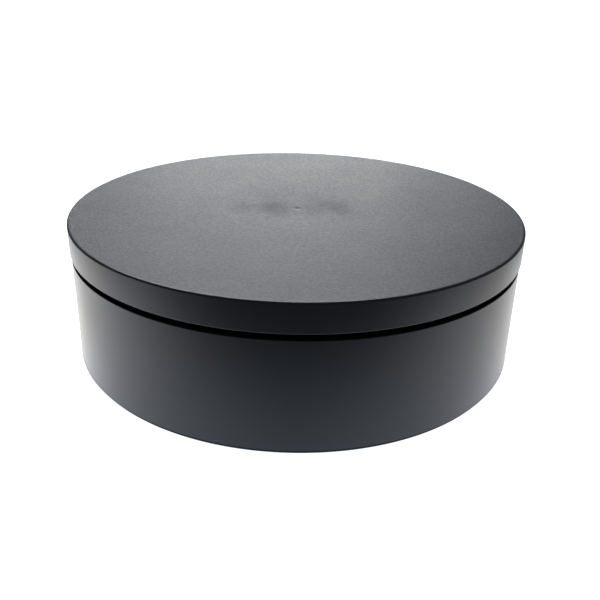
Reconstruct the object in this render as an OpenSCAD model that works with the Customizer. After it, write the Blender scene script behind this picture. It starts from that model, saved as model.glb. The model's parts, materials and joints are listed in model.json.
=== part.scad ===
// Motorised turntable display stand: a drum base with a geared drive, and a platter that turns on it.
// Units are millimetres. The origin is on the table, under the spindle; +Z is up and +Y is the back,
// where the switch and the power socket are.

/* [Platter] */
// Outer diameter of the platter
platter_d = 200; // [196:1:210]
// Height of the platter, from the skirt's edge to the top face
platter_h = 12; // [12:0.5:14]
// Thickness of the top plate
plate_t = 3; // [2.6:0.2:3.4]
// Thickness of the skirt
skirt_t = 2.4; // [2:0.2:3]
// Radius of the platter's top edge
platter_edge_r = 0.8; // [0.3:0.1:1]
// Radius of the skirt's outer bottom edge
skirt_edge_r = 0.4; // [0.2:0.1:0.8]
// Depth of the shallow dish around the centre of the top face
dish_depth = 0.3; // [0.1:0.1:0.5]
// Radius of that dish
dish_r = 44; // [30:2:50]
// Depth of the moulding dimple at the very centre
dimple_depth = 0.3; // [0.1:0.1:0.5]
// Radius of the moulding dimple
dimple_r = 2.6; // [2:0.2:4]

/* [Base] */
// Outer diameter of the drum
base_d = 199; // [196:1:200]
// Height of the drum's wall
wall_h = 46; // [46:1:50]
// Thickness of the drum's wall
wall_t = 2.5; // [2:0.1:3]
// Radius of the drum's top outer edge
rim_edge_r = 0.3; // [0.2:0.1:0.8]
// Radius of the drum's bottom outer edge
bottom_edge_r = 0.5; // [0.2:0.1:1]
// Air gap between the drum's rim and the platter's skirt
gap_h = 2.6; // [2:0.2:4]
// Depth of the deck below the rim
rim_depth = 6.5; // [6:0.5:7]
// Thickness of the deck
deck_t = 2.5; // [2:0.1:3]
// How far the rubber feet stand below the drum
foot_proud = 1.5; // [1:0.1:2]

/* [Support rollers] */
// Number of rollers under the platter
roller_count = 6; // [6]
// Radius of a roller
roller_r = 8; // [8]
// Width of a roller
roller_w = 6; // [5:0.5:6]
// Distance of a roller's middle from the spindle
track_r = 84; // [83:0.5:84]

/* [Drive] */
// Teeth of the ring gear under the platter
ring_teeth = 120; // [120]
// Teeth of every pinion
pinion_teeth = 12; // [12]
// Teeth of every wheel in the gearbox
wheel_teeth = 48; // [48]
// Module of the ring gear and its pinion
ring_module = 1; // [1]
// Module of the gearbox's last stage
last_module = 0.6; // [0.6]
// Module of the gearbox's first two stages
fine_module = 0.5; // [0.5]

/* [Controls] */
// Width of the recess at the back
recess_w = 52; // [50:1:54]
// Height of the recess at the back
recess_h = 22; // [20:1:22]
// Tilt of the rocker to each side of level, in degrees
rocker_tilt = 11; // [9:1:12]

/* [Hidden] */
$fn = 96;
eps = 0.01; // overlap of cuts past a face
step = 60; // spacing of the rollers and cover screws, in degrees

// Heights, from the table up
base_z = foot_proud;
rim_z = base_z + wall_h;
skirt_z = rim_z + gap_h;
top_z = skirt_z + platter_h;
plate_z = top_z - plate_t;
deck_top = rim_z - rim_depth;
deck_z = deck_top - deck_t;
cover_t = 2.5;
cover_z = base_z + 0.8;
cover_top = cover_z + cover_t;

// Radii of the two big mouldings
platter_r = platter_d / 2;
base_r = base_d / 2;
wall_inner_r = base_r - wall_t;
dust_lip_r = 94;
dust_lip_t = 2;
dust_lip_h = 11.5;

// Rollers and their track
track_clearance = 0.05;
track_proud = 0.45;
track_z = plate_z - track_proud;
roller_z = track_z - track_clearance - roller_r;
roller_pin_r = 1.5;
running_gap = 0.05;
upright_t = 3;
upright_half_w = 4;
roller_side_gap = 0.3;
upright_in = track_r - roller_w / 2 - roller_side_gap - upright_t;
upright_out = track_r + roller_w / 2 + roller_side_gap;

// Centre bearing, a 608: 8 mm bore, 22 mm outside, 7 mm wide
bearing_bore_r = 4;
bearing_r = 11;
bearing_h = 7;
bearing_pitch_r = 7.5;
ball_r = 1.985;
ball_count = 7;
groove_r = 2.03;
inner_ring_r = 6.05;
outer_ring_in_r = 9.1;
bearing_top = deck_top + 2;
bearing_z = bearing_top - bearing_h;
bearing_mid = bearing_z + bearing_h / 2;
hub_boss_r = 15;
hub_boss_z = bearing_z - 6;
shield_t = 0.3;
shield_inset = 0.25;

// Spindle
flange_r = 21;
flange_t = 3;
flange_top = plate_z - 3.1;
flange_z = flange_top - flange_t;
shoulder_r = 5.8;
spigot_r = 6;
spigot_h = 1.4;
flange_screw_ring_r = 15;
spindle_end = bearing_z + 0.2;
screw_m4_r = 1.65;
washer_r = 5.8;
washer_t = 1;

// Gear teeth
pressure_angle = 25;
addendum = 0.8;
dedendum = 1.05;
ring_slack = 0.12;
last_slack = 0.08;
fine_slack = 0.07;
flank_steps = 3;
ring_pitch_r = ring_module * ring_teeth / 2;
ring_body_r = ring_pitch_r + 5.5;
ring_z = skirt_z - 0.1;
ring_top = plate_z - 2.1;
lug_t = 3;
lug_r = 4.5;
lug_ring_r = 68;
lug_count = 6;

// Gear axes, from the drive pinion back to the motor
drive_r = ring_module * (ring_teeth - pinion_teeth) / 2;
last_gap = last_module * (wheel_teeth + pinion_teeth) / 2 + 0.05;
fine_gap = fine_module * (wheel_teeth + pinion_teeth) / 2 + 0.05;
output_at = [0, -drive_r];
second_dir = 180;
first_dir = 120;
motor_dir = 180;
second_at = output_at + last_gap * [cos(second_dir), sin(second_dir)];
first_at = second_at + fine_gap * [cos(first_dir), sin(first_dir)];
motor_at = first_at + fine_gap * [cos(motor_dir), sin(motor_dir)];

// Turn of each gear that brings its teeth into mesh at rest
output_pinion_turn = ring_mesh(-90, ring_teeth, pinion_teeth);
output_wheel_turn = 0;
second_turn = mesh(second_dir, output_wheel_turn, wheel_teeth, pinion_teeth);
second_wheel_turn = 0;
first_turn = mesh(first_dir, second_wheel_turn, wheel_teeth, pinion_teeth);
first_wheel_turn = 0;
motor_turn = mesh(motor_dir, first_wheel_turn, wheel_teeth, pinion_teeth);

// Gearbox heights
tray_t = 2.5;
tray_z = 19.5;
tray_floor = tray_z + tray_t;
lid_t = 2;
lid_z = deck_z - lid_t;
box_wall = 2;
wheel_t = 3;
first_z = 23;
second_z = 27;
last_z = 31;
drive_z = 48;
drive_top = 56.5;
collar_z = deck_top + 0.4;
gear_pin_r = 1;
output_shaft_r = 2;
spacer_r = 1.9;
gear_play = 0.3;
pin_seat = 1.5;
bush_r = 4;
pinion_hole_r = 8;
cups = [[output_at, 18], [second_at, 16], [first_at, 16], [motor_at, 14]];
// Ears for the gearbox screws: a cup's number, and the direction from its centre
ears = [[0, -30], [0, 60], [3, 180], [1, -120]];
ear_r = 3.6;
ear_out = 1.5;
box_screw_r = 1.3;
box_screw_hole_r = 1.6;

// Motor, a flat can motor
motor_r = 12.2;
motor_h = 12.4;
motor_z = tray_z - motor_h;
motor_skin = 0.8;
motor_shaft_r = 1;
motor_boss_r = 3;
motor_screw_gap = 8;
motor_screw_r = 1;

// Cover screws, feet and vents
cover_r = wall_inner_r - 0.3;
cover_boss_ring_r = 88;
cover_boss_r = 4;
cover_screw_r = 1.3;
cover_screw_head_r = 2.9;
cover_screw_head_h = 1.4;
foot_ring_r = 74;
foot_r = 8;
foot_sink = 0.8;
foot_count = 4;
vent_l = 22;
vent_w = 2.4;
vent_pitch = 6;

// Recess and controls at the back
panel_y = 91;
panel_t = 2;
recess_z = 25;
recess_wall = 2;
switch_x = -12;
bezel = [21, 15, 2];
switch_body_size = [18.6, 12.9, 14];
switch_well = [17.6, 11.6];
rocker_half_w = 5.6;
rocker_pivot_y = panel_y - 3;
rocker_pin_r = 1.2;
rocker_pin_half_l = 6.4;
jack_x = 13;
jack_r = 4;
jack_bore_r = 3.05;
jack_bore_depth = 9.7;
jack_flange_r = 5.2;
jack_flange_t = 1.2;
jack_pin_r = 1;
tab_w = 4.8;
tab_t = 0.8;

// Circuit board, hung under the deck
board_at = [0, 56];
board_size = [38, 22, 1.6];
board_top = deck_z - 2.5;
board_z = board_top - board_size[2];
board_screw_x = 15.5;
board_screw_r = 0.9;
lead_r = 0.7;
lead_sides = 8;
header_size = [7.4, 5.8, 6.4];
header_x = [-13, 0, 12];
header_y = board_at[1] - 2;

// ---- Outlines ----

// Points of an arc from angle a0 to a1
function arc(at, r, a0, a1, n = 6) =
    [for (i = [0:n]) at + r * [cos(a0 + (a1 - a0) * i / n), sin(a0 + (a1 - a0) * i / n)]];

// A rectangle about the origin with round corners
function round_rect(w, h, r) = concat(
    arc([w / 2 - r, h / 2 - r], r, 0, 90), arc([r - w / 2, h / 2 - r], r, 90, 180),
    arc([r - w / 2, r - h / 2], r, 180, 270), arc([w / 2 - r, r - h / 2], r, 270, 360));

// A smooth hollow of a depth and radius, 0 outside it
function hollow(r, depth, radius) = r < radius ? depth * (1 + cos(180 * r / radius)) / 2 : 0;

function top_face(r) = top_z - hollow(r, dish_depth, dish_r) - hollow(r, dimple_depth, dimple_r);

// ---- Gear teeth ----

function involute(a) = tan(a) - a * PI / 180;

// Half of a tooth's angle at radius r, in degrees
function half_tooth(m, n, slack, r) =
    let (pitch_r = m * n / 2, base = pitch_r * cos(pressure_angle), a = r > base ? acos(base / r) : 0)
    ((PI * m / 2 - slack) / (2 * pitch_r) + involute(pressure_angle) - involute(a)) * 180 / PI;

// Outline of n teeth between radii r0 and r1; a tooth's middle lies at angle 0
function teeth(m, n, slack, r0, r1) = [for (k = [0:n - 1], side = [-1, 1], i = [0:flank_steps])
    let (share = (side < 0 ? i : flank_steps - i) / flank_steps, r = r0 + (r1 - r0) * share,
        a = 360 * k / n + side * half_tooth(m, n, slack, r))
    r * [cos(a), sin(a)]];

// Turn of a gear of n2 teeth that meshes with a gear of n1 teeth turned by t1; dir is the direction
// from the first gear's axis to the second's
function mesh(dir, t1, n1, n2) = dir + 180 - (t1 - dir) * n1 / n2 + 180 / n2;

// Turn of a pinion of n2 teeth inside a ring of n1 teeth, whose tooth space lies at angle 0
function ring_mesh(dir, n1, n2) = dir - dir * n1 / n2;

module gear_2d(m, n, slack)
    polygon(teeth(m, n, slack, m * (n / 2 - dedendum), m * (n / 2 + addendum)));

module gear(m, n, slack, h) linear_extrude(h) gear_2d(m, n, slack);

// A gearbox wheel with four lightening holes in its web
module wheel(m, slack) {
    hole_ring_r = m * wheel_teeth / 2 * 0.6;
    difference() {
        gear(m, wheel_teeth, slack, wheel_t);
        for (k = [0:3]) rotate(90 * k + 45) translate([hole_ring_r, 0, -eps])
            cylinder(r = 2, h = wheel_t + 2 * eps, $fn = 32);
    }
}

// ---- Fasteners ----

module around(count, r, turn = 0)
    for (k = [0:count - 1]) rotate(turn + 360 / count * k) translate([r, 0, 0]) children();

// A screw that points up from its head at z = 0, with a cross recess in the head
module screw(r, length, head_r, head_h) {
    difference() {
        translate([0, 0, -head_h]) cylinder(r1 = head_r * 0.86, r2 = head_r, h = head_h, $fn = 48);
        for (turn = [0, 90]) rotate(turn)
            translate([-head_r * 0.55, -head_r * 0.1, -head_h - eps])
                cube([head_r * 1.1, head_r * 0.2, head_h * 0.55]);
    }
    cylinder(r = r, h = length, $fn = 32);
}

// ---- Platter group ----

module platter_profile() polygon(concat(
    [for (i = [0:4]) let (r = dimple_r * i / 4) [r, top_face(r)]],
    [for (i = [1:12]) let (r = dimple_r + (dish_r - dimple_r) * i / 12) [r, top_face(r)]],
    arc([platter_r - platter_edge_r, top_z - platter_edge_r], platter_edge_r, 90, 0, 8),
    arc([platter_r - skirt_edge_r, skirt_z + skirt_edge_r], skirt_edge_r, 0, -90, 4),
    [[platter_r - skirt_t, skirt_z], [platter_r - skirt_t, plate_z - 1.5],
        [platter_r - skirt_t - 1.5, plate_z],
        [track_r + 4, plate_z], [track_r + 4, track_z], [track_r - 4, track_z], [track_r - 4, plate_z],
        [0, plate_z]]));

module platter() color("#34363a") difference() {
    union() {
        rotate_extrude() platter_profile();
        translate([0, 0, flange_top]) cylinder(r = flange_r + 1, h = plate_z - flange_top + 1);
        around(lug_count, lug_ring_r) translate([0, 0, ring_top])
            cylinder(r = 4, h = plate_z - ring_top + 1);
        // Ribs inside the ring gear, and outside it up to the track
        around(12, 0, 15) {
            translate([flange_r, -0.8, ring_top + 0.2]) cube([ring_pitch_r - flange_r - 3, 1.6, 3]);
            translate([ring_body_r + 1.5, -0.8, ring_top + 0.2]) cube([track_r - ring_body_r - 6, 1.6, 3]);
        }
    }
    translate([0, 0, flange_top - eps]) cylinder(r = spigot_r + running_gap, h = spigot_h + 0.2);
    around(4, flange_screw_ring_r, 45) translate([0, 0, flange_top - eps])
        cylinder(r = 1.3, h = 4.5, $fn = 32);
    around(lug_count, lug_ring_r) translate([0, 0, ring_top - eps]) cylinder(r = 1.1, h = 3.6, $fn = 32);
}

module spindle() color("#b9bcc0") difference() {
    union() {
        translate([0, 0, flange_z]) cylinder(r = flange_r, h = flange_t);
        translate([0, 0, flange_top - eps]) cylinder(r = spigot_r, h = spigot_h + eps);
        translate([0, 0, bearing_top]) cylinder(r = shoulder_r, h = flange_z - bearing_top + eps);
        translate([0, 0, spindle_end]) cylinder(r = bearing_bore_r, h = bearing_top - spindle_end + eps);
    }
    translate([0, 0, spindle_end - eps]) cylinder(r = screw_m4_r, h = 14, $fn = 32);
    around(4, flange_screw_ring_r, 45) translate([0, 0, flange_z - eps])
        cylinder(r = 1.7, h = flange_t + 2 * eps, $fn = 32);
}

module spindle_flange_screws() color("#c9ccd0")
    around(4, flange_screw_ring_r, 45) translate([0, 0, flange_z]) screw(1.3, flange_t + 4, 2.8, 2);

module spindle_washer() color("#c9ccd0") difference() {
    translate([0, 0, bearing_z - washer_t]) cylinder(r = washer_r, h = washer_t);
    translate([0, 0, bearing_z - washer_t - eps]) cylinder(r = screw_m4_r + 0.4, h = washer_t + 2 * eps);
}

module spindle_screw() color("#c9ccd0")
    translate([0, 0, bearing_z - washer_t]) screw(screw_m4_r, 11, 4, 2.8);

module ring_gear() color("#e6e4dc") difference() {
    union() {
        translate([0, 0, ring_z]) cylinder(r = ring_body_r, h = ring_top - ring_z);
        around(lug_count, lug_ring_r) translate([0, 0, ring_top - lug_t]) cylinder(r = lug_r, h = lug_t);
    }
    translate([0, 0, ring_z - eps]) linear_extrude(ring_top - ring_z + 2 * eps)
        polygon(teeth(ring_module, ring_teeth, -ring_slack,
            ring_pitch_r - addendum * ring_module, ring_pitch_r + dedendum * ring_module));
    around(lug_count, lug_ring_r) translate([0, 0, ring_top - lug_t - eps])
        cylinder(r = 1.4, h = lug_t + 2 * eps, $fn = 32);
}

module ring_gear_screws() color("#c9ccd0")
    around(lug_count, lug_ring_r) translate([0, 0, ring_top - lug_t]) screw(1.1, lug_t + 3.2, 2.2, 1.6);

// ---- Centre bearing ----

// A ring between two radii, from the bearing's bottom to its top
module bearing_ring_2d(r0, r1) translate([r0, bearing_z]) square([r1 - r0, bearing_h]);

module ball_groove_2d() translate([bearing_pitch_r, bearing_mid]) circle(r = groove_r);

module bearing_outer_ring() color("#c4c7cb") rotate_extrude() difference() {
    bearing_ring_2d(outer_ring_in_r, bearing_r);
    ball_groove_2d();
}

module bearing_inner_ring() color("#c4c7cb") rotate_extrude() difference() {
    bearing_ring_2d(bearing_bore_r, inner_ring_r);
    ball_groove_2d();
}

module bearing_balls() color("#d8dade")
    around(ball_count, bearing_pitch_r) translate([0, 0, bearing_mid]) sphere(r = ball_r);

module bearing_cage() color("#c9a24a") difference() {
    rotate_extrude() translate([6.6, bearing_mid - 2.6]) square([1.9, 5.2]);
    around(ball_count, 0) translate([0, 0, bearing_mid]) rotate([0, 90, 0])
        cylinder(r = 2.08, h = 10, $fn = 48);
}

module bearing_shields() color("#9a9da1")
    for (z = [bearing_z + shield_inset, bearing_top - shield_inset - shield_t])
        rotate_extrude() translate([inner_ring_r + 0.2, z])
            square([outer_ring_in_r - inner_ring_r - 0.2, shield_t]);

// ---- Support rollers ----

module support_roller(k) color("#dcdad2")
    rotate(step * (k - 0.5)) translate([track_r, 0, roller_z]) rotate([0, 90, 0]) rotate_extrude()
        polygon([[roller_pin_r + running_gap, -roller_w / 2], [3.2, -roller_w / 2], [3.8, 1 - roller_w / 2],
            [6.2, 1 - roller_w / 2], [6.6, -roller_w / 2], [roller_r - 0.4, -roller_w / 2],
            [roller_r, 0.4 - roller_w / 2], [roller_r, roller_w / 2 - 0.4], [roller_r - 0.4, roller_w / 2],
            [6.6, roller_w / 2], [6.2, roller_w / 2 - 1], [3.8, roller_w / 2 - 1], [3.2, roller_w / 2],
            [roller_pin_r + running_gap, roller_w / 2]]);

module roller_pins() color("#b9bcc0")
    around(roller_count, upright_in, step / 2) translate([0, 0, roller_z]) rotate([0, 90, 0])
        cylinder(r = roller_pin_r, h = upright_out + upright_t - upright_in, $fn = 32);

// ---- Base shell ----

module shell_profile() polygon(concat(
    [[0, deck_z], [wall_inner_r, deck_z], [wall_inner_r, base_z]],
    arc([base_r - bottom_edge_r, base_z + bottom_edge_r], bottom_edge_r, -90, 0),
    arc([base_r - rim_edge_r, rim_z - rim_edge_r], rim_edge_r, 0, 90),
    [[wall_inner_r, rim_z], [wall_inner_r, deck_top], [dust_lip_r, deck_top],
        [dust_lip_r, deck_top + dust_lip_h], [dust_lip_r - dust_lip_t, deck_top + dust_lip_h],
        [dust_lip_r - dust_lip_t, deck_top], [0, deck_top]]));

// Two uprights that hold one roller's pin
module roller_bracket() for (x = [upright_in, upright_out]) translate([x, 0, 0]) difference() {
    rotate([90, 0, 90]) linear_extrude(upright_t) polygon(concat(
        [[-upright_half_w, deck_top - 1], [upright_half_w, deck_top - 1]],
        arc([0, roller_z], upright_half_w, 0, 180, 10)));
    translate([-eps, 0, roller_z]) rotate([0, 90, 0])
        cylinder(r = roller_pin_r, h = upright_t + 2 * eps, $fn = 32);
}

function ear_at(e) = cups[e[0]][0] + (cups[e[0]][1] + ear_out) * [cos(e[1]), sin(e[1])];

module at_ears(z) for (e = ears) translate([ear_at(e)[0], ear_at(e)[1], z]) children();

module at_board_screws(z)
    for (x = [-board_screw_x, board_screw_x]) translate([board_at[0] + x, board_at[1], z]) children();

// Puts an XZ outline at the back, running from depth y0 to y1
module through_back(x, y0, y1) translate([x, y1, recess_z]) rotate([90, 0, 0])
    linear_extrude(y1 - y0) children();

module recess_walls() intersection() {
    translate([-recess_w / 2 - recess_wall, panel_y - panel_t, recess_z - recess_h / 2 - recess_wall])
        cube([recess_w + 2 * recess_wall, 20, deck_z + 1 - recess_z + recess_h / 2 + recess_wall]);
    cylinder(r = base_r - 1.5, h = deck_z + 2);
}

module base_shell() color("#2f3136") difference() {
    union() {
        rotate_extrude() shell_profile();
        translate([0, 0, hub_boss_z]) cylinder(r = hub_boss_r, h = bearing_top - hub_boss_z);
        rotate(step / 2) for (k = [0:roller_count - 1]) rotate(step * k) roller_bracket();
        around(6, cover_boss_ring_r) {
            translate([0, 0, cover_top]) cylinder(r = cover_boss_r, h = deck_z - cover_top + 1);
            translate([cover_boss_r - 0.5, -0.75, cover_top + 1])
                cube([wall_inner_r - cover_boss_ring_r - cover_boss_r + 1, 1.5, deck_z - cover_top]);
        }
        // Ribs under the deck, on the side away from the gearbox
        for (turn = [0, 30, 150, 180]) rotate(turn) translate([hub_boss_r - 1, -0.8, deck_z - 4])
            cube([cover_boss_ring_r - cover_boss_r - hub_boss_r + 1.5, 1.6, 5]);
        at_ears(deck_top - 1) cylinder(r = ear_r, h = 5);
        at_board_screws(board_top) cylinder(r = 2.5, h = deck_z - board_top + 1);
        recess_walls();
    }
    translate([0, 0, bearing_z]) cylinder(r = bearing_r, h = bearing_h + 1);
    translate([0, 0, hub_boss_z - eps]) cylinder(r = outer_ring_in_r + 0.4, h = bearing_z - hub_boss_z + 1);
    translate([output_at[0], output_at[1], deck_z - 1]) cylinder(r = pinion_hole_r, h = deck_t + 2);
    around(6, cover_boss_ring_r) translate([0, 0, cover_top - eps])
        cylinder(r = cover_screw_r, h = 16, $fn = 32);
    at_ears(deck_z - eps) cylinder(r = box_screw_r, h = 5.5, $fn = 32);
    at_board_screws(board_top - eps) cylinder(r = board_screw_r, h = 3.5, $fn = 32);
    through_back(0, panel_y, base_r + 5) polygon(round_rect(recess_w, recess_h, 3));
    through_back(switch_x, panel_y - panel_t - 1, panel_y + 1)
        square([switch_body_size[0] + 0.2, switch_body_size[1] + 0.1], center = true);
    through_back(jack_x, panel_y - panel_t - 1, panel_y + 1) circle(r = jack_r + 0.1);
}

// ---- Gearbox ----

// The gearbox's outline: round cups about the gear axes, inset by a distance
module cups_2d(inset) for (c = cups) translate(c[0]) circle(r = c[1] - inset);

module at(point, z) translate([point[0], point[1], z]) children();

module gearbox_tray() color("#3a3d42") difference() {
    union() {
        translate([0, 0, tray_z]) linear_extrude(lid_z - tray_z) difference() {
            union() {
                cups_2d(0);
                for (e = ears) translate(ear_at(e)) circle(r = ear_r);
            }
            cups_2d(box_wall);
        }
        translate([0, 0, tray_z]) linear_extrude(tray_t) cups_2d(box_wall / 2);
        at(output_at, tray_floor - 1) cylinder(r = 3.4, h = 3);
    }
    at(output_at, tray_z + 1) cylinder(r = output_shaft_r + 0.04, h = 5, $fn = 48);
    for (p = [second_at, first_at]) at(p, tray_floor - pin_seat) cylinder(r = gear_pin_r, h = 3, $fn = 32);
    at(motor_at, tray_z - eps) cylinder(r = motor_boss_r + 0.1, h = tray_t + 1, $fn = 48);
    for (side = [-1, 1]) at(motor_at + [0, side * motor_screw_gap], tray_z - eps)
        cylinder(r = motor_screw_r + 0.15, h = tray_t + 1, $fn = 32);
    at_ears(tray_z - eps) cylinder(r = box_screw_hole_r, h = lid_z - tray_z + 1, $fn = 32);
}

module gearbox_cover() color("#3a3d42") difference() {
    translate([0, 0, lid_z]) linear_extrude(lid_t) {
        cups_2d(0);
        for (e = ears) translate(ear_at(e)) circle(r = ear_r);
    }
    at(output_at, lid_z - 1) cylinder(r = bush_r, h = lid_t + 2, $fn = 48);
    for (p = [second_at, first_at]) at(p, lid_z - 1) cylinder(r = gear_pin_r, h = pin_seat + 1, $fn = 32);
    at_ears(lid_z - eps) cylinder(r = box_screw_hole_r, h = lid_t + 1, $fn = 32);
}

module gearbox_screws() color("#c9ccd0")
    at_ears(tray_z) screw(box_screw_r, deck_z + 5 - tray_z, 2.8, 2);

module gear_pins() color("#b9bcc0") for (p = [second_at, first_at])
    at(p, tray_floor - pin_seat) cylinder(r = gear_pin_r, h = lid_z + 2 * pin_seat - tray_floor, $fn = 32);

module output_bush() color("#a9793f") difference() {
    at(output_at, lid_z - 1.7) cylinder(r = bush_r, h = 6.2, $fn = 48);
    at(output_at, lid_z - 2) cylinder(r = output_shaft_r + 0.03, h = 7, $fn = 48);
}

module output_shaft() color("#b9bcc0")
    at(output_at, tray_z + 1.2) cylinder(r = output_shaft_r, h = drive_top - tray_z - 1.2, $fn = 48);

module output_gear() color("#e6e4dc") at(output_at, 0) difference() {
    union() {
        translate([0, 0, last_z]) rotate(output_wheel_turn) wheel(last_module, last_slack);
        translate([0, 0, tray_floor + 2.3]) cylinder(r = 4, h = lid_z - 2 - tray_floor - 2.3);
    }
    translate([0, 0, tray_floor]) cylinder(r = output_shaft_r, h = lid_z - tray_floor, $fn = 48);
}

module drive_pinion() color("#e6e4dc") at(output_at, 0) difference() {
    union() {
        translate([0, 0, drive_z]) rotate(output_pinion_turn)
            gear(ring_module, pinion_teeth, ring_slack, drive_top - drive_z);
        translate([0, 0, collar_z]) cylinder(r = 4, h = drive_z - collar_z + eps);
    }
    translate([0, 0, collar_z - 1]) cylinder(r = output_shaft_r, h = drive_top - collar_z + 2, $fn = 48);
}

// A wheel with the next stage's pinion above it, on a hub that runs on a steel pin
module compound_gear(p, z, wheel_turn, m_wheel, slack_wheel, pinion_turn, m_pinion, slack_pinion, pinion_h)
    at(p, 0) difference() {
        union() {
            translate([0, 0, tray_floor + gear_play])
                cylinder(r = spacer_r, h = z - tray_floor - gear_play + 1);
            translate([0, 0, z]) rotate(wheel_turn) wheel(m_wheel, slack_wheel);
            translate([0, 0, z + wheel_t - eps]) rotate(pinion_turn)
                gear(m_pinion, pinion_teeth, slack_pinion, pinion_h);
            translate([0, 0, z + wheel_t]) cylinder(r = spacer_r, h = lid_z - gear_play - z - wheel_t);
        }
        translate([0, 0, tray_floor]) cylinder(r = gear_pin_r + 0.03, h = lid_z - tray_floor, $fn = 32);
    }

module second_gear() color("#e6e4dc") compound_gear(second_at, second_z, second_wheel_turn,
    fine_module, fine_slack, second_turn, last_module, last_slack, 4.3);

module first_gear() color("#e6e4dc") compound_gear(first_at, first_z, first_wheel_turn,
    fine_module, fine_slack, first_turn, fine_module, fine_slack, 4);

// ---- Motor ----

module motor_can() color("#aeb1b5") at(motor_at, 0) difference() {
    translate([0, 0, motor_z]) cylinder(r = motor_r, h = motor_h);
    translate([0, 0, motor_z - eps]) cylinder(r = motor_r - motor_skin, h = motor_h - motor_skin);
    translate([0, 0, motor_z]) cylinder(r = motor_boss_r, h = motor_h + 1, $fn = 48);
    for (side = [-1, 1]) translate([0, side * motor_screw_gap, motor_z + motor_h - 1])
        cylinder(r = motor_screw_r, h = 2, $fn = 32);
}

module motor_bush() color("#a9793f") at(motor_at, tray_z - 2.4) difference() {
    cylinder(r = motor_boss_r, h = 3.4, $fn = 48);
    translate([0, 0, -eps]) cylinder(r = motor_shaft_r + 0.02, h = 4, $fn = 32);
}

module motor_magnet() color("#4a4644") at(motor_at, motor_z + 2.4) difference() {
    cylinder(r = motor_r - motor_skin, h = 7);
    translate([0, 0, -eps]) cylinder(r = 9, h = 8);
}

// Three-slot armature with its commutator and shaft
module motor_armature() color("#8f7a5c") at(motor_at, 0) {
    translate([0, 0, motor_z + 3.2]) difference() {
        cylinder(r = 8.6, h = 5.4);
        around(3, 8.6, 30) translate([0, 0, -eps]) cylinder(r = 3.2, h = 6, $fn = 32);
    }
    translate([0, 0, motor_z + 2.2]) cylinder(r = 2.6, h = 1.1, $fn = 48);
    translate([0, 0, motor_z + 1])
        cylinder(r = motor_shaft_r, h = first_z + wheel_t + 0.4 - motor_z - 1, $fn = 32);
}

module motor_pinion() color("#c9a24a") at(motor_at, first_z - 0.2) difference() {
    rotate(motor_turn) gear(fine_module, pinion_teeth, fine_slack, wheel_t + 0.4);
    translate([0, 0, -eps]) cylinder(r = motor_shaft_r, h = 5, $fn = 32);
}

module motor_end_cap() color("#1d1e20") at(motor_at, motor_z) difference() {
    cylinder(r = motor_r - motor_skin, h = 1.8);
    translate([0, 0, 0.8]) cylinder(r = motor_shaft_r + 0.03, h = 2, $fn = 32);
    for (side = [-1, 1]) translate([side * 7 - 1.2, -0.3, -eps]) cube([2.4, 0.6, 3]);
}

module motor_terminals() color("#c9a24a") for (side = [-1, 1])
    at(motor_at + [side * 7 - 1.2, -0.3], motor_z - 1.4) cube([2.4, 0.6, 3.4]);

module motor_screws() color("#c9ccd0") for (side = [-1, 1])
    at(motor_at + [0, side * motor_screw_gap], tray_floor) rotate([180, 0, 0])
        screw(motor_screw_r, tray_t + motor_skin, 1.9, 0.8);

// ---- Switch and power socket ----

module switch_body() color("#141517") difference() {
    union() {
        through_back(switch_x, panel_y - switch_body_size[2], panel_y + eps)
            square([switch_body_size[0], switch_body_size[1]], center = true);
        through_back(switch_x, panel_y, panel_y + bezel[2]) polygon(round_rect(bezel[0], bezel[1], 1.2));
    }
    through_back(switch_x, rocker_pivot_y - 4.5, panel_y + 5) square(switch_well, center = true);
    translate([switch_x, rocker_pivot_y, recess_z - 8])
        cylinder(r = rocker_pin_r + running_gap, h = 16, $fn = 32);
    for (x = [-5, 5]) through_back(switch_x + x, panel_y - switch_body_size[2] - eps,
        panel_y - switch_body_size[2] + 2) square([tab_w, tab_t], center = true);
}

// The rocker at rest: off, with its +X end pressed in
module switch_rocker() color("#1b1c1f") translate([switch_x, rocker_pivot_y, recess_z]) {
    rotate(-rocker_tilt) translate([0, 0, -rocker_half_w]) linear_extrude(2 * rocker_half_w)
        polygon([[-7.2, 6.6], [-7.2, 0], [-3, -3], [3, -3], [7.2, 0], [7.2, 6.6], [0, 5.2]]);
    translate([0, 0, -rocker_pin_half_l]) cylinder(r = rocker_pin_r, h = 2 * rocker_pin_half_l, $fn = 32);
}

module switch_terminals() color("#c9a24a") for (x = [-5, 5])
    through_back(switch_x + x, panel_y - switch_body_size[2] - 6, panel_y - switch_body_size[2] + 2)
        square([tab_w, tab_t], center = true);

jack_mouth = panel_y + jack_flange_t;
jack_floor = jack_mouth - jack_bore_depth;
jack_back = jack_floor - 2.5;

module jack_body() color("#141517") difference() {
    union() {
        through_back(jack_x, jack_back, panel_y + eps) circle(r = jack_r);
        through_back(jack_x, panel_y, jack_mouth) circle(r = jack_flange_r);
    }
    through_back(jack_x, jack_floor, jack_mouth + 1) circle(r = jack_bore_r);
    through_back(jack_x, jack_back - 1, jack_floor + 1) circle(r = 0.8, $fn = 32);
    through_back(jack_x, jack_back - 1, jack_back + 1.5) translate([0, -2.4])
        square([2, 0.8], center = true);
}

// A stepped contact pin with a rounded tip
module jack_pin() color("#d5d7da") translate([jack_x, jack_back, recess_z]) rotate([-90, 0, 0])
    rotate_extrude() polygon(concat([[0, -3], [0.8, -3], [0.8, 2.5], [jack_pin_r, 2.5]],
        arc([jack_pin_r - 0.6, 10.6], 0.6, 0, 90, 5), [[0, 11.2]]));

module jack_nut() color("#c9ccd0") difference() {
    through_back(jack_x, panel_y - panel_t - 2, panel_y - panel_t) circle(r = 6.35, $fn = 6);
    through_back(jack_x, panel_y - panel_t - 3, panel_y - panel_t + 1) circle(r = jack_r);
}

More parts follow.
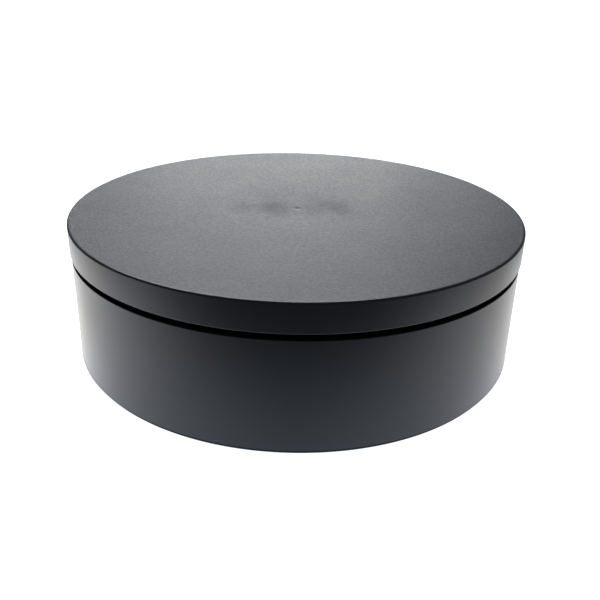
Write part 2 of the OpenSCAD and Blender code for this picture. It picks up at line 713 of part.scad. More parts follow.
module jack_terminal() color("#c9a24a")
    through_back(jack_x, jack_back - 4, jack_back + 1.5) translate([0, -2.4])
        square([2, 0.8], center = true);

// ---- Circuit board ----

module circuit_board() color("#1f5b3a") difference() {
    translate([board_at[0] - board_size[0] / 2, board_at[1] - board_size[1] / 2, board_z]) cube(board_size);
    at_board_screws(board_z - eps) cylinder(r = board_screw_r + 0.2, h = board_size[2] + 2 * eps, $fn = 32);
}

module board_screws() color("#c9ccd0")
    at_board_screws(board_z) screw(board_screw_r, board_size[2] + 3, 1.8, 1.2);

module board_capacitor() color("#23252b") at(board_at + [-7, 6], board_z - 7) difference() {
    cylinder(r = 3.15, h = 7, $fn = 48);
    translate([0, 0, 5.9]) rotate_extrude() translate([3, 0]) square([1, 0.5]);
}

module board_chip() color("#1a1b1d") at(board_at + [3, 4], board_z - 1.7) cube([5, 4, 1.7]);

module board_headers() color("#f0ece0") for (x = header_x)
    at([x - header_size[0] / 2, header_y - header_size[1] - 3], board_z - header_size[2]) difference() {
        cube(header_size);
        translate([0.8, 0.8, -eps]) cube([header_size[0] - 1.6, header_size[1] - 1.6, header_size[2] - 2]);
    }

// ---- Leads ----

function unit(v) = v / norm(v);

// A point of a smooth curve through four points, between the middle two
function between(a, b, c, d, t) =
    0.5 * (2 * b + (c - a) * t + (2 * a - 5 * b + 4 * c - d) * t * t + (3 * b - a - 3 * c + d) * t * t * t);

function smooth(p, n = 3) = let (last = len(p) - 1) concat(
    [for (i = [0:last - 1], j = [0:n - 1])
        between(p[max(i - 1, 0)], p[i], p[i + 1], p[min(i + 2, last)], j / n)], [p[last]]);

// A round tube along a route; its ends are flat
module tube(route, r) {
    p = smooth(route);
    last = len(p) - 1;
    reference = unit([0.31, 0.17, 0.93]);
    points = [for (i = [0:last])
        let (along = unit(p[min(i + 1, last)] - p[max(i - 1, 0)]),
            across = unit(cross(along, reference)), up = cross(along, across))
        for (k = [0:lead_sides - 1])
            let (a = 360 * k / lead_sides) p[i] + r * (across * cos(a) + up * sin(a))];
    faces = concat([[for (k = [0:lead_sides - 1]) k]],
        [for (i = [0:last - 1], k = [0:lead_sides - 1])
            let (j = (k + 1) % lead_sides, a = i * lead_sides, b = a + lead_sides)
            [a + k, b + k, b + j, a + j]],
        [[for (k = [lead_sides - 1:-1:0]) last * lead_sides + k]]);
    polyhedron(points = points, faces = faces, convexity = 6);
}

header_mouth_y = header_y - header_size[1] / 2 - 3;
header_mouth_z = board_z - header_size[2];
tab_end_y = panel_y - switch_body_size[2] - 6;

// The last two points of a lead that goes up into a header, or the first two of one that comes out of it
function into_header(x, out = false) = let (
    below = [x, header_mouth_y, header_mouth_z - 3], inside = [x, header_mouth_y, header_mouth_z + 3])
    out ? [inside, below] : [below, inside];

module jack_lead() color("#17181a")
    tube(concat([[jack_x, jack_back - 4, recess_z - 2.4], [13, 72, 22], [14, 62, 17], [13.6, 50, 16]],
        into_header(header_x[2] + 1.2)), lead_r);

module switch_lead() color("#a3241f")
    tube([[jack_x, jack_back - 3, recess_z], [12, 74, 26], [6, 68, 25.5], [-2, 66.5, 25], [-6, 68, 25],
        [-7, tab_end_y, recess_z]], lead_r);

module switched_lead() color("#a3241f")
    tube(concat([[-17, tab_end_y, recess_z], [-17, 66, 24], [-15, 57, 19], [-6, 50, 18]],
        into_header(header_x[1])), lead_r);

module motor_leads() {
    for (side = [-1, 1]) color(side < 0 ? "#17181a" : "#a3241f")
        tube([each into_header(header_x[0] + 1.2 * side, true), [-16 + 1.6 * side, 46, 18],
            [-24 + 2 * side, 36, 11], [-40 + 2 * side, 18, 8.5], [-50 + 2 * side, 0, 7.5],
            [-48 + 3 * side, -18, 6.6], [-42 + 5 * side, -32, 5.9],
            [motor_at[0] + 7 * side, motor_at[1] + 0.3, 6.4]], lead_r);
}

// ---- Bottom cover and feet ----

module slot(l, w) linear_extrude(10) polygon(concat(
    arc([l / 2 - w / 2, 0], w / 2, -90, 90, 8), arc([w / 2 - l / 2, 0], w / 2, 90, 270, 8)));

module bottom_cover() color("#2a2c30") difference() {
    union() {
        translate([0, 0, cover_z]) cylinder(r = cover_r, h = cover_t);
        translate([0, 0, cover_top - 1]) rotate_extrude() translate([28, 0]) square([1.6, 2]);
        for (turn = [70, 110, 250, 290]) rotate(turn) translate([28, -0.8, cover_top - 1])
            cube([54, 1.6, 2]);
    }
    around(6, cover_boss_ring_r) {
        translate([0, 0, cover_z - eps]) cylinder(r = cover_screw_r + 0.3, h = cover_t + 1, $fn = 32);
        translate([0, 0, cover_z - eps]) cylinder(r = cover_screw_head_r + 0.3, h = cover_screw_head_h + 0.1);
    }
    around(foot_count, foot_ring_r, 45) translate([0, 0, cover_z - eps])
        cylinder(r = foot_r + 0.15, h = foot_sink);
    for (side = [-1, 1], k = [-3:3]) translate([side * 44, k * vent_pitch, cover_z - 1])
        slot(vent_l, vent_w);
}

module cover_screws() color("#c9ccd0") around(6, cover_boss_ring_r)
    translate([0, 0, cover_z + cover_screw_head_h])
        screw(cover_screw_r, 12, cover_screw_head_r, cover_screw_head_h);

// A stuck-on foot with a bevelled edge and a grip groove
module rubber_foot(k) color("#17181a") around(1, foot_ring_r, 45 + 90 * (k - 1)) rotate_extrude() {
    foot_top = cover_z + foot_sink - eps;
    polygon([[0, 0], [4, 0], [4.4, 0.4], [5.2, 0.4], [5.6, 0], [foot_r - 0.7, 0], [foot_r, 0.7],
        [foot_r, foot_top], [0, foot_top]]);
}

platter();
base_shell();
spindle();
spindle_flange_screws();
spindle_screw();
spindle_washer();
bearing_outer_ring();
bearing_inner_ring();
bearing_balls();
bearing_cage();
bearing_shields();
ring_gear();
ring_gear_screws();
support_roller(1);  // support_roller_1
support_roller(2);  // support_roller_2
support_roller(3);  // support_roller_3
support_roller(4);  // support_roller_4
support_roller(5);  // support_roller_5
support_roller(6);  // support_roller_6
roller_pins();
drive_pinion();
output_shaft();
output_gear();
output_bush();
second_gear();
first_gear();
gear_pins();
gearbox_tray();
gearbox_cover();
gearbox_screws();
motor_can();
motor_magnet();
motor_armature();
motor_pinion();
motor_bush();
motor_end_cap();
motor_terminals();
motor_screws();
switch_body();
switch_rocker();
switch_terminals();
jack_body();
jack_pin();
jack_nut();
jack_terminal();
circuit_board();
board_capacitor();
board_chip();
board_headers();
board_screws();
jack_lead();
switch_lead();
switched_lead();
motor_leads();
bottom_cover();
cover_screws();
rubber_foot(1);  // rubber_foot_1
rubber_foot(2);  // rubber_foot_2
rubber_foot(3);  // rubber_foot_3
rubber_foot(4);  // rubber_foot_4
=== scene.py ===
"""The turntable display stand, dressed around its CAD model: a material for each CAD node, a rocker with
curved faces, the socket's sprung contact, a table, soft lights and a camera. All lengths are in metres,
in the CAD model's frame: the origin at the bottom centre, +Z up and the controls at the back, +Y."""

import json
import math

import bmesh
import bpy
from mathutils import Matrix, Vector


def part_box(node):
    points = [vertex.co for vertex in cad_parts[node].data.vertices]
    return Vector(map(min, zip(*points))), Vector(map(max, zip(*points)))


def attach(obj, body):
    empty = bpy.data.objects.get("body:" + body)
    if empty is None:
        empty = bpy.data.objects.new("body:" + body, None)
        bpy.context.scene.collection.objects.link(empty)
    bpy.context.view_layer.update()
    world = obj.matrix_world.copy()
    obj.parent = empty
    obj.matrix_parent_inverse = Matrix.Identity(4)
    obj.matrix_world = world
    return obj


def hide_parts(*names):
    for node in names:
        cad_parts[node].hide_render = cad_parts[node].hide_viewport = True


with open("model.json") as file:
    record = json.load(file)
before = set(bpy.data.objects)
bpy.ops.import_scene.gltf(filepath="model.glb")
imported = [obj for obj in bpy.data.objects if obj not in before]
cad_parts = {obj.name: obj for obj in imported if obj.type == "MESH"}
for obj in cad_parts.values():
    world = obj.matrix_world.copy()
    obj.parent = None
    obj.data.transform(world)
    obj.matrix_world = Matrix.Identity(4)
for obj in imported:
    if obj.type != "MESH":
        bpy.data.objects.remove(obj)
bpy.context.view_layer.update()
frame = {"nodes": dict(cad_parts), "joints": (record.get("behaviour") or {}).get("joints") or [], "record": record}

# Most of a noise texture's values lie between these two.
NOISE_LOW, NOISE_HIGH = 0.3, 0.7

ROCKER_HALF_LENGTH = 0.0072
ROCKER_HALF_HEIGHT = 0.0056


# ---- Camera ----

def make_camera():
    """The camera looks down on the front from close by, a little off centre and slightly rolled.
    Its distance and elevation are from the middle of the base's underside, which stands on feet."""
    distance, elevation, foot_proud = 0.36452, math.radians(27.298), 0.0015
    pan, tilt, roll = math.radians(0.412), math.radians(25.222), math.radians(-1.418)
    ahead = math.cos(tilt)
    forward = Vector((math.sin(pan) * ahead, math.cos(pan) * ahead, -math.sin(tilt)))
    level = Vector((math.cos(pan), -math.sin(pan), 0))
    down = forward.cross(level)
    right = level * math.cos(roll) + down * math.sin(roll)
    up = level * math.sin(roll) - down * math.cos(roll)
    data = bpy.data.cameras.new("camera")
    data.lens = 44.98
    data.sensor_width = 36
    data.clip_start = 0.01
    camera = bpy.data.objects.new("camera", data)
    bpy.context.scene.collection.objects.link(camera)
    turn = Matrix((right, up, -forward)).transposed().to_4x4()
    height = distance * math.sin(elevation) + foot_proud
    place = Vector((0, -distance * math.cos(elevation), height))
    camera.matrix_world = Matrix.Translation(place) @ turn
    bpy.context.scene.camera = camera


# ---- Materials ----

class Shader:
    """A material's node tree, with a Principled shader and short ways to add nodes to it.
    Lengths are in metres, and noise scales are in features to the metre."""

    def __init__(self, name, metallic=0.0, roughness=0.5, **fixed):
        self.material = bpy.data.materials.new(name)
        self.material.use_nodes = True
        self.tree = self.material.node_tree
        self.principled = self.tree.nodes["Principled BSDF"]
        self.principled.inputs["Metallic"].default_value = metallic
        self.principled.inputs["Roughness"].default_value = roughness
        for key, value in fixed.items():
            self.principled.inputs[key.replace("_", " ")].default_value = value
        self.place = self.add("ShaderNodeTexCoord").outputs["Object"]

    def add(self, kind, **settings):
        """A new node. Its settings are its own properties, such as operation."""
        node = self.tree.nodes.new(kind)
        for key, value in settings.items():
            setattr(node, key, value)
        return node

    def link(self, source, target):
        self.tree.links.new(source, target)

    def noise(self, scale, detail=3.0, roughness=0.5, distortion=0.0, place=None):
        node = self.add("ShaderNodeTexNoise")
        self.link(place or self.place, node.inputs["Vector"])
        node.inputs["Scale"].default_value = scale
        node.inputs["Detail"].default_value = detail
        node.inputs["Roughness"].default_value = roughness
        node.inputs["Distortion"].default_value = distortion
        return node.outputs["Fac"]

    def cells(self, scale):
        """Distance to the nearest of the points of an uneven grid."""
        node = self.add("ShaderNodeTexVoronoi")
        self.link(self.place, node.inputs["Vector"])
        node.inputs["Scale"].default_value = scale
        return node.outputs["Distance"]

    def math(self, operation, a, b=0.0):
        """The result for one or two values, each a number or a node's output."""
        node = self.add("ShaderNodeMath", operation=operation)
        for socket, value in zip(node.inputs, (a, b)):
            if isinstance(value, (int, float)):
                socket.default_value = value
            else:
                self.link(value, socket)
        return node.outputs[0]

    def remap(self, value, low, high, to_low, to_high, smooth=False):
        """The range low to high, stretched to to_low to to_high and cut off there."""
        node = self.add("ShaderNodeMapRange")
        node.interpolation_type = "SMOOTHSTEP" if smooth else "LINEAR"
        self.link(value, node.inputs["Value"])
        ends = {"From Min": low, "From Max": high, "To Min": to_low, "To Max": to_high}
        for key, number in ends.items():
            node.inputs[key].default_value = number
        return node.outputs["Result"]

    def spread(self, noise, to_low, to_high):
        """A noise's values, stretched to the range to_low to to_high."""
        return self.remap(noise, NOISE_LOW, NOISE_HIGH, to_low, to_high)

    def ramp(self, value, *stops):
        """A colour for each value, from stops of (value, colour)."""
        node = self.add("ShaderNodeValToRGB")
        self.link(value, node.inputs["Fac"])
        while len(node.color_ramp.elements) < len(stops):
            node.color_ramp.elements.new(0.5)
        for element, (at, color) in zip(node.color_ramp.elements, stops):
            element.position = at
            element.color = (*color, 1)
        return node.outputs["Color"]

    def tones(self, noise, dark, pale):
        """Colours from dark to pale, as a noise goes."""
        return self.ramp(noise, (NOISE_LOW, dark), (NOISE_HIGH, pale))

    def mixed(self, clouds, fine):
        """Broad clouds and a fine grain in one noise, the clouds the stronger."""
        return self.math("ADD", self.math("MULTIPLY", clouds, 0.6), self.math("MULTIPLY", fine, 0.4))

    def separate(self):
        """The place's X, Y and Z, as a node's outputs."""
        node = self.add("ShaderNodeSeparateXYZ")
        self.link(self.place, node.inputs[0])
        return node.outputs

    def length(self, vector):
        node = self.add("ShaderNodeVectorMath", operation="LENGTH")
        self.link(vector, node.inputs[0])
        return node.outputs["Value"]

    def stretched(self, scale):
        """The place, with each axis multiplied by its own number."""
        node = self.add("ShaderNodeMapping")
        self.link(self.place, node.inputs["Vector"])
        node.inputs["Scale"].default_value = scale
        return node.outputs["Vector"]

    def radius(self):
        """Distance from the spindle's axis."""
        return self.length(self.stretched((1, 1, 0)))

    def color(self, value):
        self.link(value, self.principled.inputs["Base Color"])

    def rough(self, value):
        self.link(value, self.principled.inputs["Roughness"])

    def bump(self, height, depth):
        """Bumps of a depth; called again, it lays one on another."""
        node = self.add("ShaderNodeBump")
        node.inputs["Distance"].default_value = depth
        self.link(height, node.inputs["Height"])
        normal = self.principled.inputs["Normal"]
        if normal.is_linked:
            self.link(normal.links[0].from_socket, node.inputs["Normal"])
        self.link(node.outputs["Normal"], normal)


def shade(color, factor):
    """A colour made darker or paler, up to white."""
    return tuple(min(1.0, x * factor) for x in color)


def grained_plastic(name, color, roughness, grain, depth, ior=1.5):
    """Moulded plastic: a fine even grain, and faint clouds in its colour and gloss."""
    mottle, gloss_change = 0.12, 0.025
    s = Shader(name, roughness=roughness, IOR=ior)
    clouds = s.noise(38, detail=4, roughness=0.6)
    fine = s.noise(grain, detail=3, roughness=0.6)
    s.color(s.tones(s.mixed(clouds, fine), shade(color, 1 - mottle), shade(color, 1 + mottle)))
    s.rough(s.spread(clouds, roughness - gloss_change, roughness + gloss_change))
    s.bump(fine, depth)
    return s.material


def flow_marks(s, top):
    """Added roughness of the soft dull marks beside the dimple, where the melt ran out over the hub.
    Each is an ellipse: its middle, half its length and width, its turn, and what its middle adds.
    A drifting noise makes their outlines uneven."""
    drift_size = 0.006
    drift = s.add("ShaderNodeTexNoise")
    s.link(s.place, drift.inputs["Vector"])
    drift.inputs["Scale"].default_value = 120
    uneven = s.add("ShaderNodeVectorMath", operation="MULTIPLY_ADD")
    s.link(drift.outputs["Color"], uneven.inputs[0])
    uneven.inputs[1].default_value = (drift_size, drift_size, 0)
    s.link(s.place, uneven.inputs[2])
    spots = (
        ((-0.0075, 0.003), (0.013, 0.016), 0, 0.12),
        ((-0.021, 0.003), (0.010, 0.014), 0, 0.06),
        ((0.0105, 0.003), (0.009, 0.012), 0, 0.08),
        ((0.019, 0.006), (0.021, 0.010), -53, 0.09),
    )
    dull = 0.0
    for (x, y), (half_length, half_width), turn, most in spots:
        spot = s.add("ShaderNodeMapping", vector_type="TEXTURE")
        s.link(uneven.outputs["Vector"], spot.inputs["Vector"])
        spot.inputs["Location"].default_value = (x, y, top)
        spot.inputs["Rotation"].default_value = (0, 0, math.radians(turn))
        spot.inputs["Scale"].default_value = (half_length, half_width, 1)
        added = s.remap(s.length(spot.outputs["Vector"]), 0, 1, most, 0, smooth=True)
        dull = s.math("MAXIMUM", added, dull)
    return dull


def platter_plastic():
    """The flat of the top face is spark-eroded and matt, with faint flow marks by the moulding dimple.
    The edge radius and the skirt have a satin finish like the base's."""
    s = Shader("platter_plastic", IOR=1.45)
    top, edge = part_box("platter")[1].z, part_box("platter")[1].x
    border, fade = 0.001, 0.0002
    near_top = s.remap(s.separate()["Z"], top - border - fade, top - border, 0, 1)
    inside = s.remap(s.radius(), edge - border, edge - border + fade, 1, 0)
    matt = s.math("MULTIPLY", near_top, inside)
    clouds = s.noise(38, detail=4, roughness=0.6)
    blotches = s.noise(900, detail=2, roughness=0.6)
    pits = s.noise(850, detail=2, roughness=0.5, distortion=0.3)
    fine = s.noise(2600, detail=3, roughness=0.6)
    s.color(s.tones(s.mixed(clouds, fine), (0.0038, 0.0054, 0.0100), (0.0046, 0.0065, 0.0124)))
    satin = s.spread(clouds, 0.28, 0.32)
    dull = s.math("ADD", s.spread(pits, 0.105, 0.235), flow_marks(s, top))
    s.rough(s.math("ADD", s.math("MULTIPLY", matt, dull), satin))
    s.bump(s.math("MULTIPLY", blotches, matt), 0.00006)
    s.bump(s.math("MULTIPLY", fine, matt), 0.00001)
    return s.material


def base_plastic():
    """The base's satin moulding."""
    color = (0.0060, 0.0078, 0.0122)
    return grained_plastic("base_plastic", color, 0.30, grain=3000, depth=0.00001, ior=1.4)


def plain_plastic(name, color, roughness=0.45):
    """The moulding of the smaller parts, a little coarser than the base's."""
    return grained_plastic(name, color, roughness, grain=2200, depth=0.00002)


def nylon():
    """Off-white gear plastic that lets a little light in, with the streaks of its moulding."""
    s = Shader("gear_nylon", roughness=0.42, Subsurface_Weight=0.15, Subsurface_Scale=0.002,
               Subsurface_Radius=(1.0, 0.9, 0.7))
    flow = s.noise(90, detail=4)
    s.color(s.tones(flow, (0.70, 0.68, 0.60), (0.80, 0.78, 0.71)))
    s.rough(s.spread(flow, 0.36, 0.48))
    s.bump(s.noise(1500), 0.00002)
    return s.material


def metal(name, color, roughness=0.3, streaks=(900, 900, 60)):
    """Turned or drawn metal: fine streaks in its gloss, and faint stains."""
    s = Shader(name, metallic=1.0, roughness=roughness)
    streak = s.noise(1.0, detail=5, roughness=0.7, place=s.stretched(streaks))
    stain = s.noise(60, detail=3)
    s.color(s.tones(stain, shade(color, 0.88), shade(color, 1.05)))
    s.rough(s.spread(streak, roughness - 0.08, roughness + 0.1))
    s.bump(streak, 0.000012)
    return s.material


def rubber():
    """Dull black rubber, pebbled and a little dusty."""
    s = Shader("foot_rubber", roughness=0.82, IOR=1.5)
    dust = s.noise(420, detail=5, roughness=0.7)
    s.color(s.ramp(dust, (0.35, (0.012, 0.012, 0.012)), (0.75, (0.030, 0.029, 0.028))))
    s.rough(s.spread(dust, 0.74, 0.9))
    s.bump(s.cells(2400), 0.00004)
    return s.material


def board():
    """Green solder resist over copper tracks, which show as paler raised bands."""
    s = Shader("board", roughness=0.35, Coat_Weight=0.4, Coat_Roughness=0.15)
    tracks = s.add("ShaderNodeTexBrick")
    s.link(s.place, tracks.inputs["Vector"])
    tracks.inputs["Scale"].default_value = 260
    tracks.inputs["Mortar Size"].default_value = 0.05
    tracks.inputs["Color1"].default_value = (0.012, 0.085, 0.038, 1)
    tracks.inputs["Color2"].default_value = (0.016, 0.105, 0.047, 1)
    tracks.inputs["Mortar"].default_value = (0.045, 0.20, 0.085, 1)
    s.color(tracks.outputs["Color"])
    s.bump(tracks.outputs["Fac"], 0.00003)
    return s.material


def magnet():
    """Pressed ferrite, dark grey and gritty."""
    s = Shader("magnet", roughness=0.7)
    grit = s.noise(900, detail=5, roughness=0.7)
    s.color(s.tones(grit, (0.055, 0.05, 0.048), (0.10, 0.095, 0.09)))
    s.bump(grit, 0.00005)
    return s.material


def laminations():
    """Stacked steel sheets with lacquered copper between them."""
    s = Shader("armature", metallic=0.85, roughness=0.4)
    sheets = s.add("ShaderNodeTexWave", bands_direction="Z")
    s.link(s.place, sheets.inputs["Vector"])
    sheets.inputs["Scale"].default_value = 620
    s.color(s.ramp(sheets.outputs["Fac"], (0.3, (0.20, 0.19, 0.18)), (0.6, (0.42, 0.27, 0.15))))
    s.bump(sheets.outputs["Fac"], 0.00005)
    return s.material


def insulation(name, color):
    """A lead's soft plastic, with scuffs that are a little paler and duller."""
    s = Shader(name, roughness=0.4)
    scuffs = s.noise(300, detail=3)
    s.color(s.tones(scuffs, shade(color, 0.85), shade(color, 1.15)))
    s.rough(s.spread(scuffs, 0.34, 0.5))
    s.bump(s.noise(1800), 0.00002)
    return s.material


def make_materials():
    """A material for each slot that the record names."""
    return {
        "platter_plastic": platter_plastic(),
        "base_plastic": base_plastic(),
        "cover_plastic": plain_plastic("cover_plastic", (0.014, 0.0145, 0.016), 0.5),
        "gearbox_plastic": plain_plastic("gearbox_plastic", (0.028, 0.029, 0.032)),
        "gear_nylon": nylon(),
        "steel": metal("steel", (0.56, 0.57, 0.59)),
        "ball_steel": metal("ball_steel", (0.72, 0.73, 0.75), 0.14),
        "screw_steel": metal("screw_steel", (0.62, 0.63, 0.66), 0.32, (700, 700, 700)),
        "brass": metal("brass", (0.68, 0.50, 0.22), 0.3, (500, 500, 500)),
        "bronze": metal("bronze", (0.46, 0.30, 0.14), 0.5, (800, 800, 800)),
        "magnet": magnet(),
        "armature": laminations(),
        "black_plastic": plain_plastic("black_plastic", (0.010, 0.010, 0.011), 0.42),
        "rocker_plastic": plain_plastic("rocker_plastic", (0.010, 0.010, 0.012), 0.3),
        "board": board(),
        "capacitor_sleeve": plain_plastic("capacitor_sleeve", (0.016, 0.018, 0.026), 0.28),
        "header_plastic": plain_plastic("header_plastic", (0.72, 0.68, 0.58), 0.5),
        "black_lead": insulation("black_lead", (0.014, 0.014, 0.015)),
        "red_lead": insulation("red_lead", (0.36, 0.018, 0.012)),
        "foot_rubber": rubber(),
    }


def dress_cad_nodes():
    """Gives each CAD node the material that the record's slot names."""
    for part in frame["record"]["subparts"]:
        slots = frame["nodes"][part["node"]].data.materials
        slots.clear()
        slots.append(materials[part["material_slot"]])


# ---- Pieces ----

def mesh_object(name, bm):
    """A new object in the scene, with the mesh that bm holds."""
    mesh = bpy.data.meshes.new(name)
    bm.to_mesh(mesh)
    bm.free()
    thing = bpy.data.objects.new(name, mesh)
    bpy.context.scene.collection.objects.link(thing)
    return thing


def join_rows(bm, one, other):
    """A band of faces between two closed rows of corners."""
    for i in range(len(one)):
        j = (i + 1) % len(one)
        bm.faces.new([one[i], one[j], other[j], other[i]])


def prism(bm, outline, start, end):
    """A closed solid with an XY outline, from one height to another."""
    low = [bm.verts.new((x, y, start)) for x, y in outline]
    high = [bm.verts.new((x, y, end)) for x, y in outline]
    bm.faces.new(low[::-1])
    bm.faces.new(high)
    join_rows(bm, low, high)


def piece(name, bm, body, slot, bevel=0.0):
    """A finished piece of the object, with bevelled edges if asked, that rides on a CAD body."""
    thing = mesh_object(name, bm)
    thing.data.materials.append(materials[slot])
    for face in thing.data.polygons:
        face.use_smooth = bevel > 0
    if bevel:
        edges = thing.modifiers.new("bevel", "BEVEL")
        edges.width = bevel
        edges.segments = 3
        edges.limit_method = "ANGLE"
        edges.angle_limit = math.radians(25)
        edges.harden_normals = True
    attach(thing, body)
    return thing


def rocker_face(x):
    """Height of the rocker's finger face above its pivot: two ramps that curve down to the middle."""
    middle, rise, curve = 0.0052, 0.0014, 1.7
    return middle + rise * abs(x / ROCKER_HALF_LENGTH) ** curve


def mark(name, loops, place):
    """A thin ink mark on the rocker's face, between an outer and an inner outline, or filled if there
    is no inner one. It stands just proud of the face, and its underside is sunk into the cap."""
    proud, sunk = 0.00004, 0.00015
    bm = bmesh.new()
    rows = []
    for outline in loops:
        for lift in (proud, -sunk):
            rows.append([bm.verts.new((x, rocker_face(x) + lift, z)) for x, z in outline])
    if len(loops) == 1:
        bm.faces.new(rows[0])
        bm.faces.new(rows[1][::-1])
        rings = [(rows[0], rows[1])]
    else:
        rings = [(rows[0], rows[1]), (rows[1], rows[3]), (rows[3], rows[2]), (rows[2], rows[0])]
    for one, other in rings:
        join_rows(bm, one, other)
    bmesh.ops.recalc_face_normals(bm, faces=bm.faces)
    bmesh.ops.transform(bm, matrix=place, verts=bm.verts)
    piece(name, bm, "rocker", "header_plastic")


def ring_of(radius, x, count=40):
    """The corners of a circle at x, as pairs."""
    turns = [math.tau * i / count for i in range(count)]
    return [(x + radius * math.cos(turn), radius * math.sin(turn)) for turn in turns]


def make_rocker():
    """The rocker at rest, off: its cap, its pin, and its on and off marks. It is drawn about its pivot
    with its face along +Y, and at rest it is tipped by half of the joint's range."""
    low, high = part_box("switch_rocker")
    joint = next(j for j in frame["joints"] if j["name"] == "switch_rock")
    tip = Matrix.Rotation(-math.radians(joint["range_deg"][1] / 2), 4, "Z")
    place = Matrix.Translation(joint["pos_m"]) @ tip
    steps = 12
    face = [ROCKER_HALF_LENGTH * (1 - 2 * i / steps) for i in range(steps + 1)]
    keel = 0.003
    outline = [(-ROCKER_HALF_LENGTH, 0), (-keel, -keel), (keel, -keel), (ROCKER_HALF_LENGTH, 0)]
    outline += [(x, rocker_face(x)) for x in face]
    bm = bmesh.new()
    prism(bm, outline, -ROCKER_HALF_HEIGHT, ROCKER_HALF_HEIGHT)
    bmesh.ops.transform(bm, matrix=place, verts=bm.verts)
    cap = piece("rocker_cap", bm, "rocker", "rocker_plastic", bevel=0.0004)
    bm = bmesh.new()
    pin_r, half_pin = 0.0012, (high.z - low.z) / 2
    prism(bm, ring_of(pin_r, 0, 24), -half_pin, half_pin)
    bmesh.ops.transform(bm, matrix=place, verts=bm.verts)
    piece("rocker_pin", bm, "rocker", "rocker_plastic", bevel=0.0001)
    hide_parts("switch_rocker")
    off_x, ring_r, hole_r = 0.0042, 0.0013, 0.00095
    mark("off_mark", [ring_of(ring_r, off_x), ring_of(hole_r, off_x)], place)
    bar_outer, bar_inner, bar_z = -0.0044, -0.0040, 0.0013
    bar = [(bar_outer, -bar_z), (bar_inner, -bar_z), (bar_inner, bar_z), (bar_outer, bar_z)]
    mark("on_mark", [bar], place)


def make_socket_contact():
    """The sprung leaf inside the power socket that touches the plug's barrel."""
    low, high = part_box("jack_body")
    x, z = (low.x + high.x) / 2, (low.z + high.z) / 2
    length, half_width, thick = 0.0066, 0.0008, 0.00025
    inset, below, bow_height, bow_pace, steps = 0.0012, 0.0029, 0.0006, 1.3, 12
    section = ((-half_width, 0), (half_width, 0), (half_width, thick), (-half_width, thick))
    bm = bmesh.new()
    rows = []
    for i in range(steps + 1):
        along = i / steps
        y = high.y - inset - length * along
        bow = bow_height * math.sin(math.pi * min(1, along * bow_pace)) ** 2
        base = z - below + bow
        rows.append([bm.verts.new((x + across, y, base + up)) for across, up in section])
    bm.faces.new(rows[0])
    bm.faces.new(rows[-1][::-1])
    for one, other in zip(rows, rows[1:]):
        join_rows(bm, one, other)
    bmesh.ops.recalc_face_normals(bm, faces=bm.faces)
    piece("socket_leaf", bm, "base", "steel", bevel=0.00005)


# ---- Studio ----

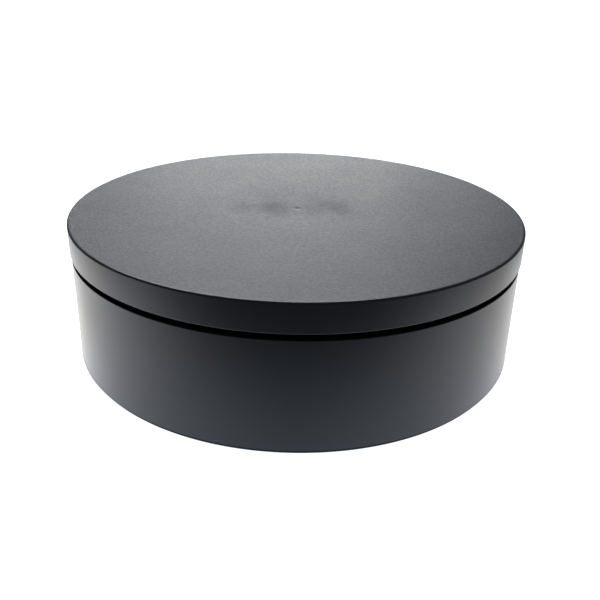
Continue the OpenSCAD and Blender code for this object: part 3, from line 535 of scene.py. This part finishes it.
def make_floor():
    """A white table, plain to the camera except under the object, where a shadow is painted dark. What the
    object mirrors is light painted on the table as its own glow: a painted shadow under the object, a pool
    brighter beside it than in front of it, a little more on the left, and fading outwards, soonest in front."""
    half = 8
    corners = ((-half, -half), (half, -half), (half, half), (-half, half))
    bm = bmesh.new()
    bm.faces.new([bm.verts.new((x, y, 0)) for x, y in corners])
    floor = mesh_object("floor", bm)
    s = Shader("floor", roughness=0.9, Specular_IOR_Level=0.0)
    radius, axes = s.radius(), s.separate()
    # Painted shadow: 0 under the object and 1 outside it. It darkens the table's colour there and cuts out its
    # painted glow.
    outside_painted_shadow = s.remap(radius, 0.099, 0.101, 0, 1)
    s.color(s.ramp(outside_painted_shadow, (0, (0.01, 0.01, 0.01)), (1, (0.2, 0.2, 0.2))))
    # Painted light: the table glows for what the object mirrors, a pool brighter beside the object than in front
    # of it.
    sideways = s.math("DIVIDE", s.math("ABSOLUTE", axes["X"]), radius)
    in_front, beside = 1.34, 2.04
    painted_light_pool = s.remap(sideways, 0, 1, in_front, beside)
    front_fade = s.remap(axes["Y"], -0.21, -0.087, 0, 1, smooth=True)
    outer_fade = s.remap(radius, 0.159, 0.299, 1, 0, smooth=True)
    left_to_right = s.remap(axes["X"], -0.2, 0.2, 1.17, 0.83)
    for factor in (front_fade, outer_fade, left_to_right):
        painted_light_pool = s.math("MULTIPLY", painted_light_pool, factor)
    seen = s.add("ShaderNodeLightPath").outputs["Is Camera Ray"]
    # To the camera the table is white, apart from a painted shadow, nearly black, under the object's edge.
    white = s.math("MULTIPLY", seen, s.remap(radius, 0.098, 0.0984, 0.02, 1.3))
    level = s.math("MAXIMUM", s.math("MULTIPLY", outside_painted_shadow, painted_light_pool), white)
    # The painted light's colour: cooler in front of the object, warmer beside it.
    cool, neutral, warm = (0.80, 0.90, 1.0), (0.895, 0.915, 0.98), (0.925, 0.917, 0.90)
    tint = s.ramp(sideways, (0, cool), (0.84, neutral), (1, warm))
    s.link(tint, s.principled.inputs["Emission Color"])
    s.link(level, s.principled.inputs["Emission Strength"])
    floor.data.materials.append(s.material)


def softbox(name, place, aim, width, height, power, color=(1, 1, 1)):
    """An oblong area light that faces a point."""
    data = bpy.data.lights.new(name, "AREA")
    data.shape = "RECTANGLE"
    data.size, data.size_y = width, height
    data.energy = power
    data.color = color
    light = bpy.data.objects.new(name, data)
    bpy.context.scene.collection.objects.link(light)
    light.location = place
    light.rotation_euler = (Vector(aim) - Vector(place)).to_track_quat("-Z", "Y").to_euler()


def make_light():
    """A dim world that the camera sees as white, two low boxes behind the object and one overhead."""
    world = bpy.data.worlds.new("studio")
    bpy.context.scene.world = world
    world.use_nodes = True
    tree = world.node_tree
    background = tree.nodes["Background"]
    background.inputs["Color"].default_value = (0.93, 1.0, 1.12, 1)
    background.inputs["Strength"].default_value = 0.177
    white = tree.nodes.new("ShaderNodeBackground")
    white.inputs["Color"].default_value = (1, 1, 1, 1)
    white.inputs["Strength"].default_value = 1.1
    path = tree.nodes.new("ShaderNodeLightPath")
    mix = tree.nodes.new("ShaderNodeMixShader")
    tree.links.new(path.outputs["Is Camera Ray"], mix.inputs["Fac"])
    tree.links.new(background.outputs["Background"], mix.inputs[1])
    tree.links.new(white.outputs["Background"], mix.inputs[2])
    tree.links.new(mix.outputs["Shader"], tree.nodes["World Output"].inputs["Surface"])
    target = (0, 0, 0.05)
    softbox("backdrop", (-0.05, 1.38, 0.29), target, width=1.2, height=0.12, power=3.7)
    softbox("horizon", (-0.05, 1.397, 0.148), target, width=0.6, height=0.12, power=3.1)
    softbox("overhead", (-0.195, 0.916, 1.09), target, width=1.0, height=0.26, power=13.8,
            color=(1.0, 1.0, 1.08))


def look():
    """Grey levels as the shaders give them, without a film curve."""
    view = bpy.context.scene.view_settings
    view.view_transform = "Standard"
    view.look = "None"
    view.exposure = 0
    view.gamma = 1


make_camera()
materials = make_materials()
dress_cad_nodes()
make_rocker()
make_socket_contact()
make_floor()
make_light()
look()
